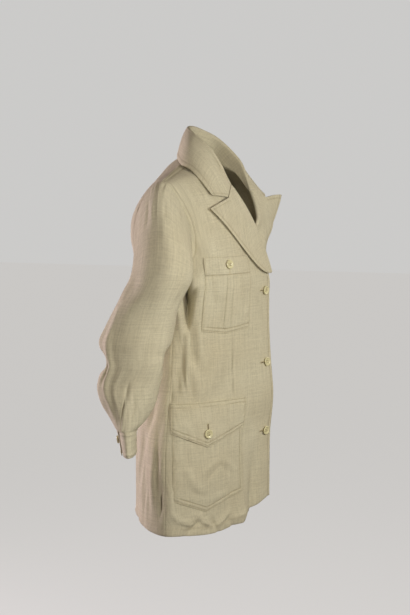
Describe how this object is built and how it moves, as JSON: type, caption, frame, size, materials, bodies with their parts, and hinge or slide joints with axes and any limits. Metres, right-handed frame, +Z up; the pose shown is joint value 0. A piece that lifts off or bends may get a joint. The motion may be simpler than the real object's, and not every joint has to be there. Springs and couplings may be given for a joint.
{
  "type": "safari jacket",
  "caption": "Long linen safari jacket in its worn form: notched collar, buttoned front, patch pockets with pointed flaps below, long sleeves on narrow cuffs.",
  "frame": {"origin": "middle of the neck opening, level with the neck points where the shoulder seams meet the collar", "axes": "+Z up along the body, -Y towards the wearer's front, -X towards the wearer's right"},
  "size_m": [0.6142, 0.2681, 0.787],
  "materials": {
    "linen": "matt",
    "button": "satin"
  },
  "bodies": {
    "root": {"front_right": "linen", "front_left": "linen", "back": "linen", "lapel_right": "linen", "lapel_left": "linen", "collar": "linen", "sleeve_right": "linen", "sleeve_left": "linen", "cuff_right": "linen", "cuff_left": "linen", "pocket_chest_right": "linen", "pocket_chest_left": "linen", "pocket_lower_right": "linen", "pocket_lower_left": "linen", "flap_right": "linen", "flap_left": "linen", "button_front_1": "button", "button_front_2": "button", "button_front_3": "button", "button_chest_right": "button", "button_chest_left": "button", "button_flap_right": "button", "button_flap_left": "button", "button_cuff_right": "button", "button_cuff_left": "button"}
  },
  "joints": []
}
